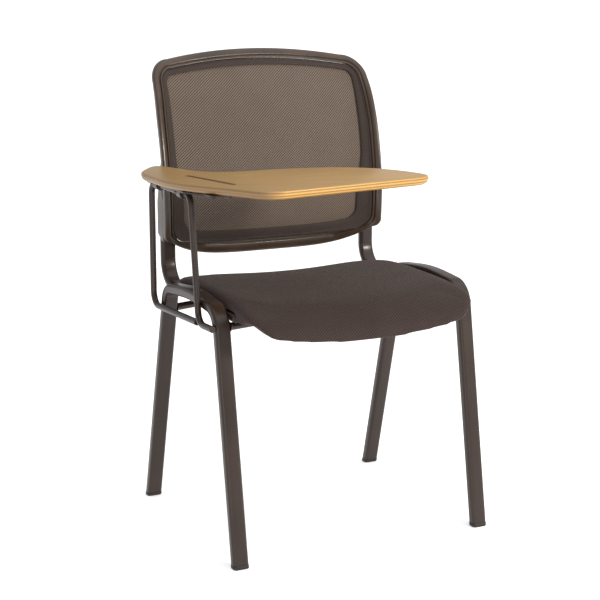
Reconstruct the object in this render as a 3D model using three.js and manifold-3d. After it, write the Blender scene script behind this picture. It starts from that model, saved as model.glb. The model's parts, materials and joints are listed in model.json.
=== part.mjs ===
// A visitor and training chair with a mesh back, a padded seat and a flip-up writing tablet.
// Millimetres, +Z up. The chair faces -Y, so the sitter's right, where the tablet is, is -X.
import * as THREE from 'three';
import { mergeVertices } from 'three/addons/utils/BufferGeometryUtils.js';
import Module from 'manifold-3d';

const wasm = await Module();
wasm.setup();

// ---------------------------------------------------------------- driving dimensions
const GAP = 0.3;              // between pieces that touch
const WALL = 1.5;             // steel tube wall

const LEG_X = 250;            // middle plane of each side frame
const LEG_W = 30;             // oval tube, across the chair
const LEG_T = 20;             // oval tube, front to back
const FRONT_FOOT_Y = -216;
const REAR_FOOT_Y = 226;
const FRONT_SPLAY = 0.1725;   // leg run per unit of height
const REAR_SPLAY = 0.265;
const FRONT_CORNER_Z = 456;   // where the leg and rail centre lines meet
const REAR_CORNER_Z = 453;
const RAIL_PEAK = [-12, 466]; // y and z of the low arch in the rail
const RAIL_BEND_FRONT = 42;
const RAIL_BEND_REAR = 32;
const GLIDE_H = 7;            // plastic glide under each leg end

const POST_T = 15;            // back post tube, LEG_W wide
const POST_Y = 197.5;         // upright run of the post
const POST_Z = 443.7;         // level run of the post, under the seat
const POST_BEND = 50;
const POST_TOP = 600;
const POST_FRONT = -154;
const POST_X = LEG_X - LEG_W / 2 - GAP - LEG_W / 2;

const CROSS_R = 7;            // stretcher tubes between the side frames
const FRONT_CROSS = { y: -143, z: 427.6, rise: 5.4 };
const REAR_CROSS = { y: 116.8, z: 412, rise: 7 };
const CROSS_KNEE = 150;       // where the stretchers level out

const SEAT_W = 232;           // half width of the pad
const SEAT_REAR = 172;
const SEAT_FRONT = -254;
const SHELL_T = 6;
const SHELL_Z = 440.8;        // underside of the shell on the centre line
const SHELL_SCREW_Y = [-95, 80];

const BACK_W = 238;           // half width of the back frame
const BACK_TOP = 893;
const BACK_BOTTOM = 491.5;
const BACK_DEPTH = 16;
const SOCKET_BOTTOM = 527;
const SOCKET_INNER = 200;
const BACK_SCREW_Z = [556, 584];

const ROD_R = 6;              // round bar that carries the tablet
const ROD_X = -(LEG_X + LEG_W / 2 + GAP + ROD_R);
const ROD_TOP = 654;          // hinge axis height
const ROD_REAR = 142;
const ROD_FRONT = -57;
const ROD_BEND = 22;

const PLATE_T = 3;
const PLATE_Z = ROD_TOP + ROD_R + GAP;
const PLATE_CORNERS = [
  [-291, 112, 8], [-291, -70, 20], [-268, -112, 10], [-264, -140, 8], [-214, -140, 8], [-214, 112, 8],
];
const SADDLE_Y = [-19, 101];  // middles of the two hinge saddles
const SADDLE_L = 20;
const BOARD_Z = PLATE_Z + PLATE_T + GAP;
const BOARD_T = 16;

// ---------------------------------------------------------------- finishes
const finishes = {
  steel: { color: 0x3b3431, roughness: 0.42, metalness: 0.6 },
  plastic: { color: 0x55493f, roughness: 0.38, metalness: 0 },
  darkPlastic: { color: 0x2b2726, roughness: 0.6, metalness: 0 },
  shell: { color: 0x242120, roughness: 0.7, metalness: 0 },
  fabric: { color: 0x4a4240, roughness: 0.95, metalness: 0 },
  net: { color: 0x73685f, roughness: 0.85, metalness: 0 },
  wood: { color: 0xb0915f, roughness: 0.5, metalness: 0 },
  zinc: { color: 0x45403d, roughness: 0.4, metalness: 0.6 },
  rubber: { color: 0x1c1b1b, roughness: 0.9, metalness: 0 },
  nylon: { color: 0x2c2927, roughness: 0.5, metalness: 0 },
};

const chair = new THREE.Group();

function add(name, geometry, finish) {
  const material = new THREE.MeshStandardMaterial({ ...finishes[finish], flatShading: true });
  const mesh = new THREE.Mesh(geometry, material);
  mesh.name = name;
  chair.add(mesh);
  return mesh;
}

// ---------------------------------------------------------------- solids and booleans
function welded(geometry) {
  const bare = geometry.clone();
  bare.deleteAttribute('normal');
  bare.deleteAttribute('uv');
  return mergeVertices(bare, 1e-3);
}

function signedVolume(geometry) {
  const p = geometry.attributes.position;
  const index = geometry.index;
  const [a, b, c] = [new THREE.Vector3(), new THREE.Vector3(), new THREE.Vector3()];
  let sum = 0;
  for (let i = 0; i < index.count; i += 3) {
    a.fromBufferAttribute(p, index.getX(i));
    b.fromBufferAttribute(p, index.getX(i + 1));
    c.fromBufferAttribute(p, index.getX(i + 2));
    sum += a.dot(b.cross(c)) / 6;
  }
  return sum;
}

function facingOut(geometry) {
  const shape = welded(geometry);
  if (signedVolume(shape) < 0) shape.index.array.reverse();
  return shape;
}

function solid(geometry) {
  const shape = facingOut(geometry);
  return new wasm.Manifold(new wasm.Mesh({
    numProp: 3,
    vertProperties: shape.attributes.position.array,
    triVerts: shape.index.array,
  }));
}

function geometryOf(manifold) {
  const mesh = manifold.getMesh();
  const geometry = new THREE.BufferGeometry();
  geometry.setAttribute('position', new THREE.BufferAttribute(mesh.vertProperties, 3));
  geometry.setIndex(new THREE.BufferAttribute(mesh.triVerts, 1));
  return geometry;
}

const cut = (body, ...tools) => tools.reduce((left, tool) => left.subtract(tool), body);

// A bar of the given outline between two heights.
function prism(shape, low, high, curveSegments = 6) {
  const geometry = new THREE.ExtrudeGeometry(shape, {
    depth: high - low, bevelEnabled: false, curveSegments,
  });
  return geometry.translate(0, 0, low);
}

function drill(x, y, z, radius, length, axis) {
  const tool = new THREE.CylinderGeometry(radius, radius, length, 12);
  if (axis === 'z') tool.rotateX(Math.PI / 2);
  return solid(tool.translate(x, y, z));
}

// ---------------------------------------------------------------- outlines and tubes
function roundedRect(width, height, radius, shape = new THREE.Shape()) {
  const [x, y] = [width / 2 - radius, height / 2 - radius];
  shape.moveTo(-x, -y - radius);
  shape.lineTo(x, -y - radius);
  shape.absarc(x, -y, radius, -Math.PI / 2, 0);
  shape.absarc(x, y, radius, 0, Math.PI / 2);
  shape.absarc(-x, y, radius, Math.PI / 2, Math.PI);
  shape.absarc(-x, -y, radius, Math.PI, 1.5 * Math.PI);
  return shape;
}

function disc(radius) {
  return new THREE.Shape().absarc(0, 0, radius, 0, 2 * Math.PI);
}

function hollow(shape, inner) {
  shape.holes.push(inner);
  return shape;
}

// Closed outline through corners [x, y, radius], each corner rounded by its radius.
function roundedOutline(corners) {
  const shape = new THREE.Shape();
  const at = (i) => new THREE.Vector2(...corners[(i + corners.length) % corners.length]);
  for (let i = 0; i < corners.length; i++) {
    const [corner, radius] = [at(i), corners[i][2]];
    const back = at(i - 1).sub(corner).normalize();
    const ahead = at(i + 1).sub(corner).normalize();
    const reach = radius / Math.tan(Math.acos(back.dot(ahead)) / 2);
    const from = corner.clone().addScaledVector(back, reach);
    const to = corner.clone().addScaledVector(ahead, reach);
    if (i === 0) shape.moveTo(from.x, from.y);
    else shape.lineTo(from.x, from.y);
    shape.quadraticCurveTo(corner.x, corner.y, to.x, to.y);
  }
  return shape;
}

// Straight runs joined by round bends, with stations only at the ends and in the bends.
class BentPath extends THREE.Curve {
  constructor(corners, radii, bendStep = Math.PI / 14) {
    super();
    this.points = [];
    this.tangents = [];
    this.addStation(corners[0], corners[1].clone().sub(corners[0]));
    for (let i = 1; i < corners.length - 1; i++) {
      const into = corners[i].clone().sub(corners[i - 1]).normalize();
      const out = corners[i + 1].clone().sub(corners[i]).normalize();
      const angle = into.angleTo(out);
      const radius = radii[i - 1];
      const side = out.clone().addScaledVector(into, -Math.cos(angle)).normalize();
      const start = corners[i].clone().addScaledVector(into, -radius * Math.tan(angle / 2));
      const steps = Math.max(2, Math.ceil(angle / bendStep));
      for (let k = 0; k <= steps; k++) {
        const turn = angle * k / steps;
        const point = start.clone().addScaledVector(into, radius * Math.sin(turn))
          .addScaledVector(side, radius * (1 - Math.cos(turn)));
        const tangent = into.clone().multiplyScalar(Math.cos(turn)).addScaledVector(side, Math.sin(turn));
        this.addStation(point, tangent);
      }
    }
    const last = corners.length - 1;
    this.addStation(corners[last], corners[last].clone().sub(corners[last - 1]));
  }

  addStation(point, tangent) {
    this.points.push(point);
    this.tangents.push(tangent.normalize());
  }

  get steps() {
    return this.points.length - 1;
  }

  getPointAt(t, target = new THREE.Vector3()) {
    return target.copy(this.points[Math.round(t * this.steps)]);
  }

  getTangentAt(t, target = new THREE.Vector3()) {
    return target.copy(this.tangents[Math.round(t * this.steps)]);
  }
}

function tube(shape, path, curveSegments = 2) {
  return new THREE.ExtrudeGeometry(shape, {
    steps: path.steps, bevelEnabled: false, extrudePath: path, curveSegments,
  });
}

const ovalTube = (thickness, grow = 0) => roundedRect(LEG_W + 2 * grow, thickness + 2 * grow, 6.5 + grow);
const postSection = (grow = 0) => roundedRect(POST_T + 2 * grow, LEG_W + 2 * grow, 6.5 + grow);
const inPlane = (x) => ([y, z]) => new THREE.Vector3(x, y, z);

// Value at z of a smooth curve through [z, value] knots.
function through(knots, z) {
  const last = knots.length - 1;
  let i = knots.findIndex((knot) => z < knot[0]) - 1;
  if (i === -2) i = last - 1;
  i = THREE.MathUtils.clamp(i, 0, last - 1);
  const slope = (k) => {
    const [low, high] = [Math.max(k - 1, 0), Math.min(k + 1, last)];
    return (knots[high][1] - knots[low][1]) / (knots[high][0] - knots[low][0]);
  };
  const run = knots[i + 1][0] - knots[i][0];
  const t = (z - knots[i][0]) / run;
  const [t2, t3] = [t * t, t * t * t];
  return (2 * t3 - 3 * t2 + 1) * knots[i][1] + (t3 - 2 * t2 + t) * run * slope(i)
    + (3 * t2 - 2 * t3) * knots[i + 1][1] + (t3 - t2) * run * slope(i + 1);
}

// A closed skin of rings around a middle: place(column, row) gives each corner of the net.
function domeSkin(columns, rows, place) {
  const profile = Array.from({ length: rows }, (_, row) => new THREE.Vector2(row % (rows - 1) ? 1 : 0, row));
  const corner = (index) => place(Math.floor(index / rows) % columns, index % rows);
  return placed(new THREE.LatheGeometry(profile, columns), corner);
}

// A closed ring: place(column, row) gives each corner, columns around and rows about the section.
function ringSkin(columns, rows, place) {
  const around = columns + 1;
  const corner = (index) => place((index % around) % columns, Math.floor(index / around) % rows);
  return placed(new THREE.TorusGeometry(10, 1, rows, columns), corner);
}

function placed(geometry, where) {
  const position = geometry.attributes.position;
  for (let i = 0; i < position.count; i++) position.setXYZ(i, ...where(i));
  return facingOut(geometry);
}

// ---------------------------------------------------------------- side frames
const legLine = (foot, splay) => (z) => foot + splay * z;
const frontLeg = legLine(FRONT_FOOT_Y, FRONT_SPLAY);
const rearLeg = legLine(REAR_FOOT_Y, -REAR_SPLAY);
const sides = [['right', -1], ['left', 1]];

function makeSideFrames() {
  const base = GLIDE_H + GAP;
  const centreLine = [
    [rearLeg(base), base],
    [rearLeg(REAR_CORNER_Z), REAR_CORNER_Z],
    RAIL_PEAK,
    [frontLeg(FRONT_CORNER_Z), FRONT_CORNER_Z],
    [frontLeg(base), base],
  ];
  const level = prism(roundedRect(1200, 1200, 1), -60, base);
  for (const [name, side] of sides) {
    const reach = centreLine.map((point) => [...point]);
    reach[0] = [rearLeg(base - 12), base - 12];
    reach[4] = [frontLeg(base - 12), base - 12];
    const path = new BentPath(reach.map(inPlane(side * LEG_X)), [RAIL_BEND_REAR, 500, RAIL_BEND_FRONT]);
    const section = hollow(ovalTube(LEG_T), ovalTube(LEG_T, -WALL));
    add(`${name}_side_frame`, geometryOf(cut(solid(tube(section, path)), solid(level))), 'steel');
  }
}

// A plastic glide: a flange the tube stands on and a spigot inside the tube.
function makeGlides() {
  const cutAt = (low, high) => solid(prism(roundedRect(80, 80, 1), low, high));
  const feet = [['front', FRONT_FOOT_Y, frontLeg], ['rear', REAR_FOOT_Y, rearLeg]];
  for (const [name, side] of sides) {
    for (const [end, footY, leg] of feet) {
      const along = [[leg(-12), -12], [leg(44), 44]].map(inPlane(side * LEG_X));
      const path = new BentPath(along, []);
      const rod = (grow) => solid(tube(ovalTube(LEG_T, grow), path));
      const flange = rod(0.6).intersect(cutAt(0, GLIDE_H).translate([side * LEG_X, footY, 0]));
      const spigot = rod(-WALL - GAP).intersect(cutAt(GLIDE_H - 1, 30).translate([side * LEG_X, footY, 0]));
      add(`${end}_${name}_glide`, geometryOf(flange.add(spigot)), 'darkPlastic');
    }
  }
}

// Stretcher tubes rise a little from each leg to a level middle.
function makeStretchers() {
  const end = LEG_X - LEG_W / 2 - GAP;
  const between = solid(new THREE.BoxGeometry(2 * end, 1000, 1000));
  for (const [name, at] of [['front_cross_tube', FRONT_CROSS], ['rear_cross_tube', REAR_CROSS]]) {
    const slope = at.rise / (end - CROSS_KNEE);
    const tip = [end + 4, at.z - 4 * slope];
    const route = [[-tip[0], tip[1]], [-CROSS_KNEE, at.z + at.rise], [CROSS_KNEE, at.z + at.rise], tip];
    const corners = route.map(([x, z]) => new THREE.Vector3(x, at.y, z));
    const section = hollow(disc(CROSS_R), disc(CROSS_R - WALL));
    const bar = solid(tube(section, new BentPath(corners, [120, 120]), 7));
    add(name, geometryOf(bar.intersect(between)), 'steel');
  }
}

// ---------------------------------------------------------------- back posts
const postPath = (x, front = POST_FRONT) => new BentPath(
  [[front, POST_Z], [POST_Y, POST_Z], [POST_Y, POST_TOP]].map(inPlane(x)), [POST_BEND], Math.PI / 20);

// Room for both posts and their plugs in the parts that lie against them.
const postRoom = (clearance) => sides.map(
  ([, side]) => solid(tube(postSection(clearance), postPath(side * POST_X, POST_FRONT - 5))));

function makePosts() {
  for (const [name, side] of sides) {
    const x = side * POST_X;
    const section = hollow(postSection(), postSection(-WALL));
    const holes = SHELL_SCREW_Y.map((y) => drill(x, y, POST_Z, 3.4, 40, 'z'));
    holes.push(...BACK_SCREW_Z.map((z) => drill(x, POST_Y + 10, z, 2.4, 20, 'y')));
    add(`${name}_back_post`, geometryOf(cut(solid(tube(section, postPath(x))), ...holes)), 'steel');

    const head = prism(ovalTube(POST_T), 0, 3, 2);
    const spigot = prism(ovalTube(POST_T, -WALL - GAP), 2, 16, 2);
    const plug = solid(head).add(solid(spigot)).rotate([-90, 0, 0]);
    const turned = plug.translate([x, POST_FRONT - 3 - GAP, POST_Z]);
    add(`${name}_post_plug`, geometryOf(turned), 'darkPlastic');
  }
}

// ---------------------------------------------------------------- seat
const dish = (x) => 11.2 * (Math.abs(x) / POST_X) ** 2.5;

const shellPlan = (grow = 0) => roundedOutline([
  [-226 - grow, -166 - grow, 30], [226 + grow, -166 - grow, 30],
  [226 + grow, 166 + grow, 66], [-226 - grow, 166 + grow, 66],
]);

// A sheet that follows the dish of the seat, between two heights on the centre line.
function dished(low, high, plan) {
  const slab = new THREE.BoxGeometry(480, 400, high - low, 16, 1, 1).translate(0, -16, (low + high) / 2);
  const bent = slab.attributes.position;
  for (let i = 0; i < bent.count; i++) bent.setZ(i, bent.getZ(i) + dish(bent.getX(i)));
  return solid(slab).intersect(solid(prism(plan, 200, 600, 5)));
}

function makeSeatShell() {
  const holes = [];
  for (const [, side] of sides) {
    for (const y of SHELL_SCREW_Y) holes.push(drill(side * POST_X, y, POST_Z, 3.4, 60, 'z'));
  }
  const shell = dished(SHELL_Z, SHELL_Z + SHELL_T, shellPlan());
  add('seat_shell', geometryOf(cut(shell, ...holes, ...postRoom(GAP))), 'shell');
}

// Plan outline of the pad as [x, y] at a station, with wide rear corners and an arched front edge.
function padPlan() {
  const shape = roundedOutline([
    [-SEAT_W, SEAT_FRONT + 10, 62], [0, SEAT_FRONT - 3, 200], [SEAT_W, SEAT_FRONT + 10, 62],
    [SEAT_W, SEAT_REAR, 78], [-SEAT_W, SEAT_REAR, 78],
  ]);
  return shape.getSpacedPoints(56).slice(0, 56);
}

const PAD_TOP = [[-256, 428], [-230, 446], [-200, 456.5], [-150, 462.5], [-60, 464], [60, 463], [172, 458]];
const PAD_LIP = 39;           // how far the front edge hangs below the underside
const PAD_WINGS = 4;          // extra height of the rear corners
const { smoothstep } = THREE.MathUtils;
const padWings = (x, y) => PAD_WINGS * smoothstep(Math.abs(x), 0, 175) * smoothstep(y, -20, 150);
const padTop = (x, y) => through(PAD_TOP, y) + 0.7 * dish(x) + padWings(x, y);
// The lip hangs lowest in the middle.
const lipShare = (out) => 1 - 0.32 * out ** 2 - 0.45 * smoothstep(out, 0.82, 0.95);
const padLip = (x, y) => PAD_LIP * lipShare(Math.abs(x) / SEAT_W) * smoothstep(-y, 120, 205);
// A small skirt each side hides the ends of the posts.
const PAD_SKIRT = 12;
const padSkirt = (x, y) => PAD_SKIRT * smoothstep(Math.abs(x) / SEAT_W, 0.88, 0.98)
  * smoothstep(-y, 150, 168) * (1 - smoothstep(-y, 172, 205));

function makeSeatPad() {
  const outline = padPlan();
  // each ring is [share of the outline, drop from the top surface or null for the underside]
  const rings = [
    [0, 0], [0.3, 0], [0.55, 0], [0.75, 0], [0.88, 0.5], [0.95, 3], [0.985, 7.5], [1, 13],
    [0.985, null], [0.9, null], [0.6, null], [0, null],
  ];
  const skin = domeSkin(outline.length, rings.length, (column, row) => {
    const [share, drop] = rings[row];
    const [x, y] = [outline[column].x * share, -40 + (outline[column].y + 40) * share];
    const under = SHELL_Z + 1.5 + dish(x) - padLip(x, y) - padSkirt(x, y);
    return [x, y, drop === null ? under : Math.max(padTop(x, y) - drop, under + 1)];
  });
  const room = dished(340, SHELL_Z + SHELL_T + GAP, shellPlan(1));
  add('seat_pad', geometryOf(cut(solid(skin), room, ...postRoom(1.2))), 'fabric');
}

// A pan-head screw with its head at the origin and its shank along +Z.
function screw(headR, headH, shankR, length) {
  const profile = [
    [0, -headH], [headR * 0.7, -headH], [headR, -headH * 0.45], [headR, 0], [shankR, 0],
    [shankR, length], [0, length],
  ].map((point) => new THREE.Vector2(...point));
  return new THREE.LatheGeometry(profile, 12).rotateX(Math.PI / 2);
}

function makeSeatScrews() {
  for (const [name, side] of sides) {
    SHELL_SCREW_Y.forEach((y, i) => {
      const shape = facingOut(screw(6, 3, 3, POST_T + GAP + 5));
      const end = i ? 'rear' : 'front';
      shape.translate(side * POST_X, y, POST_Z - POST_T / 2 - GAP);
      add(`${end}_${name}_seat_screw`, shape, 'zinc');
    });
  }
}

// ---------------------------------------------------------------- back
const BACK_PROFILE = [
  [490, 166], [560, 157.5], [630, 157.5], [700, 168.5], [760, 184.5], [820, 208], [893, 257],
];
const backHollow = (z) => THREE.MathUtils.mapLinear(z, BACK_BOTTOM, BACK_TOP, 34, 12);
const frontFace = (x, z) => through(BACK_PROFILE, z) + backHollow(z) * (1 - (x / BACK_W) ** 4);
const meshFace = (x, z) => frontFace(x, z) + 9 * (x / 205) ** 2;

// Right half of a rounded loop from the bottom centre to the top centre, then the mirrored half.
// sides holds [height, half width] knots.
function loop({ low, high, sag, crown, sides: knots, lowR, highR }) {
  const half = [];
  const [edge, bend, side] = [6, 5, 9];
  const lowZ = (x) => low + sag * (x / BACK_W) ** 4;
  const highZ = (x) => high - crown * (x / BACK_W) ** 2;
  const [lowW, highW] = [knots[0][1], knots.at(-1)[1]];
  for (let i = 0; i < edge; i++) {
    const x = (lowW - lowR) * i / edge;
    half.push([x, lowZ(x)]);
  }
  for (let i = 0; i <= bend; i++) {
    const turn = Math.PI / 2 * i / bend;
    const z0 = lowZ(lowW - lowR);
    half.push([lowW - lowR + lowR * Math.sin(turn), z0 + lowR * (1 - Math.cos(turn))]);
  }
  const [startZ, endZ] = [half.at(-1)[1], highZ(highW - highR) - highR];
  for (let i = 1; i < side; i++) {
    const z = startZ + (endZ - startZ) * i / side;
    half.push([through(knots, z), z]);
  }
  for (let i = 0; i <= bend; i++) {
    const turn = Math.PI / 2 * i / bend;
    half.push([highW - highR * (1 - Math.cos(turn)), endZ + highR * Math.sin(turn)]);
  }
  for (let i = edge - 1; i >= 0; i--) {
    const x = (highW - highR) * i / edge;
    half.push([x, highZ(x)]);
  }
  const mirrored = half.slice(1, -1).reverse().map(([x, z]) => [-x, z]);
  return [...half, ...mirrored];
}

const outerLoop = loop({
  low: BACK_BOTTOM, high: BACK_TOP, sag: 48, crown: 26, lowR: 14, highR: 44,
  sides: [[550, BACK_W], [740, BACK_W], [790, 236.5], [835, 233]],
});
const ridgeLoop = loop({
  low: 517, high: 875, sag: 20, crown: 25, lowR: 34, highR: 28,
  sides: [[570, 219.5], [740, 219.5], [790, 217.5], [830, 214.5]],
});
const windowLoop = loop({
  low: 539, high: 862, sag: 26, crown: 24, lowR: 26, highR: 19,
  sides: [[590, 190], [620, 193], [660, 199.5], [690, 203], [835, 203]],
});

const mixed = (a, b, share) => a.map((value, i) => value + (b[i] - value) * share);

// Position of a point between two loops, set back from a face by depth.
const setBack = (face, [x, z], depth) => [x, face(x, z) + depth, z];

function socketBlock(side) {
  const front = (z) => frontFace(POST_X, z) + 4;
  const profile = new THREE.Shape([
    [frontFace(BACK_W, SOCKET_BOTTOM) + 1, SOCKET_BOTTOM], [175, SOCKET_BOTTOM + 2], [207.5, 545],
    [207.5, 606], [200, 636], [188, 690], [front(700) + 9, 704], [front(690), 690], [front(620), 620],
  ].map((point) => new THREE.Vector2(...point)));
  // in front of the sleeve, and above the post, this much is left to the net and its rim
  const rimRoom = new THREE.Shape([
    [100, 500], [front(500) + 11, 500], [front(612) + 11, 612], [250, 612], [250, 720], [100, 720],
  ].map((point) => new THREE.Vector2(...point)));
  const upright = (shape, from, to) => {
    const block = prism(shape, from, to, 1).rotateX(Math.PI / 2).rotateZ(Math.PI / 2);
    if (side < 0) block.scale(-1, 1, 1);
    return solid(block);
  };
  return cut(upright(profile, SOCKET_INNER, BACK_W - 0.5), upright(rimRoom, SOCKET_INNER - 5, 219));
}

function makeBackFrame() {
  // section rows as [share of the way in, depth behind the front face]
  const section = [[0, 3], [0.16, 0], [1, 0], [1, BACK_DEPTH - 3], [0.85, BACK_DEPTH], [0.1, BACK_DEPTH]];
  const rim = ringSkin(outerLoop.length, section.length, (column, row) => {
    const [share, depth] = section[row];
    return setBack(frontFace, mixed(outerLoop[column], ridgeLoop[column], share), depth);
  });
  let frame = solid(rim);
  for (const [, side] of sides) {
    const x = side * POST_X;
    const bore = solid(tube(postSection(GAP), new BentPath(
      [[POST_Y, 480], [POST_Y, POST_TOP + 1]].map(inPlane(x)), [])));
    const holes = BACK_SCREW_Z.map((z) => drill(x, POST_Y + 10, z, 2.4, 30, 'y'));
    frame = cut(frame.add(socketBlock(side)), bore, ...holes);
  }
  add('back_frame', geometryOf(cut(frame, carrierRing(GAP + 0.1))), 'plastic');
}

// The rim the net is held in: it slopes back from the frame's inner edge to the window.
function carrierRing(grow = 0) {
  const section = [
    [0.03, 2, -1, -1], [1, 0, 1, -1], [1, 2.5, 1, 1], [0.68, 2.8, 1, 1], [0.68, 7, 1, 1], [0.03, 7, -1, 1],
  ];
  const ring = ringSkin(ridgeLoop.length, section.length, (column, row) => {
    const [share, depth, across, along] = section[row];
    const [x, z] = mixed(ridgeLoop[column], windowLoop[column], share + across * grow / 18);
    const slope = THREE.MathUtils.lerp(frontFace(x, z), meshFace(x, z), share);
    return [x, slope + depth + along * grow, z];
  });
  return solid(ring);
}

function makeMeshCarrier() {
  add('mesh_carrier', geometryOf(carrierRing()), 'darkPlastic');
}

function makeBackMesh() {
  const rows = [[0, 0], [0.35, 0], [0.7, 0], [1, 0], [1, 1.2], [0.7, 1.2], [0.35, 1.2], [0, 1.2]];
  const sheet = domeSkin(windowLoop.length, rows.length, (column, row) => {
    const [share, depth] = rows[row];
    const [edgeX, edgeZ] = windowLoop[column];
    const tuck = 1 + 0.015 * share;
    const [x, z] = [edgeX * share * tuck, 700 + (edgeZ - 700) * share * tuck];
    return [x, meshFace(x, z) + 3.4 + depth, z];
  });
  add('back_mesh', sheet, 'net');
}

function makeBackScrews() {
  for (const [name, side] of sides) {
    BACK_SCREW_Z.forEach((z, i) => {
      const shape = facingOut(screw(4.2, 2.4, 2.1, 14)).rotateX(Math.PI / 2);
      shape.translate(side * POST_X, 207.5 + GAP, z);
      add(`${i ? 'upper' : 'lower'}_${name}_back_screw`, shape, 'zinc');
    });
  }
}

// ---------------------------------------------------------------- tablet support
// One bar: from the front leg back to the front upright, up, along under the tablet,
// down and forward past the rear leg to meet its own front bend.
function makeRodFrame() {
  const route = [
    [-152, 427.5], [-88, 425], [ROD_FRONT, ROD_TOP], [ROD_REAR, ROD_TOP], [ROD_REAR, 416.5], [-80, 425.9],
  ];
  const path = new BentPath(route.map(inPlane(ROD_X)), [24, ROD_BEND, ROD_BEND, 26], Math.PI / 12);
  add('tablet_rod_frame', facingOut(tube(disc(ROD_R), path, 5)), 'steel');
}

function makeStop() {
  const inner = ROD_X + ROD_R + GAP;
  const [from, to] = [28, 62];
  const tab = new THREE.BoxGeometry(40, to - from, 4).translate(inner + 20, (from + to) / 2, 654);
  const buffer = prism(roundedRect(22, 22, 4), 656 + GAP, PLATE_Z - GAP, 2);
  buffer.translate(inner + 26, (from + to) / 2, 0);
  add('tablet_stop_tab', facingOut(tab), 'steel');
  add('tablet_stop_buffer', facingOut(buffer), 'rubber');
}

const PLATE_SCREWS = [[-257, -126], [-224, -129], [-283, 62], [-224, 98]];
const saddleBolts = (y) => [[ROD_X - 14.5, y], [ROD_X + 14.5, y]];

function makeTabletPlate() {
  const plate = solid(prism(roundedOutline(PLATE_CORNERS), PLATE_Z, PLATE_Z + PLATE_T, 3));
  const holes = PLATE_SCREWS.map(([x, y]) => drill(x, y, PLATE_Z, 2.6, 12, 'z'));
  for (const y of SADDLE_Y) holes.push(...saddleBolts(y).map(([x]) => drill(x, y, PLATE_Z, 2.1, 12, 'z')));
  add('tablet_plate', geometryOf(cut(plate, ...holes)), 'steel');
}

// Omega-shaped strap round the rod, with a flange each side against the plate.
function saddleOutline(inner, outer, flange) {
  const top = ROD_R;
  const shape = new THREE.Shape();
  shape.moveTo(-flange, top);
  shape.lineTo(-flange, top - 2);
  shape.lineTo(-outer, top - 2);
  shape.lineTo(-outer, 0);
  shape.absarc(0, 0, outer, Math.PI, 2 * Math.PI);
  shape.lineTo(outer, top - 2);
  shape.lineTo(flange, top - 2);
  shape.lineTo(flange, top);
  shape.lineTo(inner, top);
  shape.lineTo(inner, 0);
  shape.absarc(0, 0, inner, 0, -Math.PI, true);
  shape.lineTo(-inner, top);
  return shape;
}

function alongRod(shape, middle, length, curveSegments) {
  const bar = prism(shape, -length / 2, length / 2, curveSegments).rotateX(Math.PI / 2);
  return bar.translate(ROD_X, middle, ROD_TOP);
}

function makeSaddles() {
  SADDLE_Y.forEach((y, i) => {
    const name = i ? 'rear' : 'front';
    const strap = solid(alongRod(saddleOutline(8.2, 10.2, 20), y, SADDLE_L, 6));
    const holes = saddleBolts(y).map(([x]) => drill(x, y, PLATE_Z, 2.1, 12, 'z'));
    add(`${name}_hinge_saddle`, geometryOf(cut(strap, ...holes)), 'steel');
    const liner = hollow(disc(7.9), disc(ROD_R + 0.4));
    const bush = solid(alongRod(liner, y, SADDLE_L + 4, 12));
    const flat = solid(prism(roundedRect(60, 60, 1), PLATE_Z - GAP, PLATE_Z + 40).translate(ROD_X, y, 0));
    add(`${name}_hinge_bush`, geometryOf(cut(bush, flat)), 'nylon');
    saddleBolts(y).forEach(([x], side) => {
      const bolt = facingOut(screw(3.6, 2.2, 1.8, 2 + GAP + PLATE_T));
      bolt.translate(x, y, PLATE_Z - GAP - 2 - GAP);
      add(`${name}_saddle_${side ? 'inner' : 'outer'}_rivet`, bolt, 'zinc');
    });
  });
}

// ---------------------------------------------------------------- tablet
function boardOutline() {
  const shape = new THREE.Shape();
  shape.moveTo(-312, 80);
  shape.bezierCurveTo(-309, 106, -297, 122, -268, 163);
  shape.bezierCurveTo(-258, 177, -244, 182, -239, 166);
  shape.bezierCurveTo(-214, 118, -228, 34, -130, 33);
  shape.bezierCurveTo(0, 33, 84, 16, 128, -60);
  shape.bezierCurveTo(144, -88, 152, -114, 157, -142);
  shape.quadraticCurveTo(161, -186, 118, -195);
  shape.lineTo(-163, -244);
  shape.quadraticCurveTo(-204, -251, -222, -214);
  shape.bezierCurveTo(-252, -136, -306, -96, -311, 0);
  shape.closePath();
  return shape;
}

const GROOVE = { from: [-250, 20], to: [-218, -134], width: 12, depth: 3 };

function makeBoard() {
  const soft = 3;
  const blank = new THREE.ExtrudeGeometry(boardOutline(), {
    depth: BOARD_T - 2 * soft, curveSegments: 7,
    bevelEnabled: true, bevelSize: soft, bevelThickness: soft, bevelOffset: -soft, bevelSegments: 2,
  }).translate(0, 0, BOARD_Z + soft);
  const [a, b] = [GROOVE.from, GROOVE.to].map((point) => new THREE.Vector2(...point));
  const run = b.clone().sub(a);
  const slot = prism(roundedRect(run.length(), GROOVE.width, GROOVE.width / 2 - 0.01), 0, 20, 3);
  slot.rotateZ(run.angle());
  slot.translate((a.x + b.x) / 2, (a.y + b.y) / 2, BOARD_Z + BOARD_T - GROOVE.depth);
  const holes = PLATE_SCREWS.map(([x, y]) => drill(x, y, BOARD_Z, 2.6, 22, 'z'));
  for (const y of SADDLE_Y) holes.push(...saddleBolts(y).map(([x]) => drill(x, y, BOARD_Z, 4, 4, 'z')));
  add('tablet_board', geometryOf(cut(solid(blank), solid(slot), ...holes)), 'wood');
}

function makeTabletScrews() {
  const names = ['front_outer', 'front_inner', 'rear_outer', 'rear_inner'];
  PLATE_SCREWS.forEach(([x, y], i) => {
    const shape = facingOut(screw(4.8, 3.6, 2.2, PLATE_T + GAP + 9)).translate(x, y, PLATE_Z - GAP);
    add(`${names[i]}_tablet_screw`, shape, 'zinc');
  });
}

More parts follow.
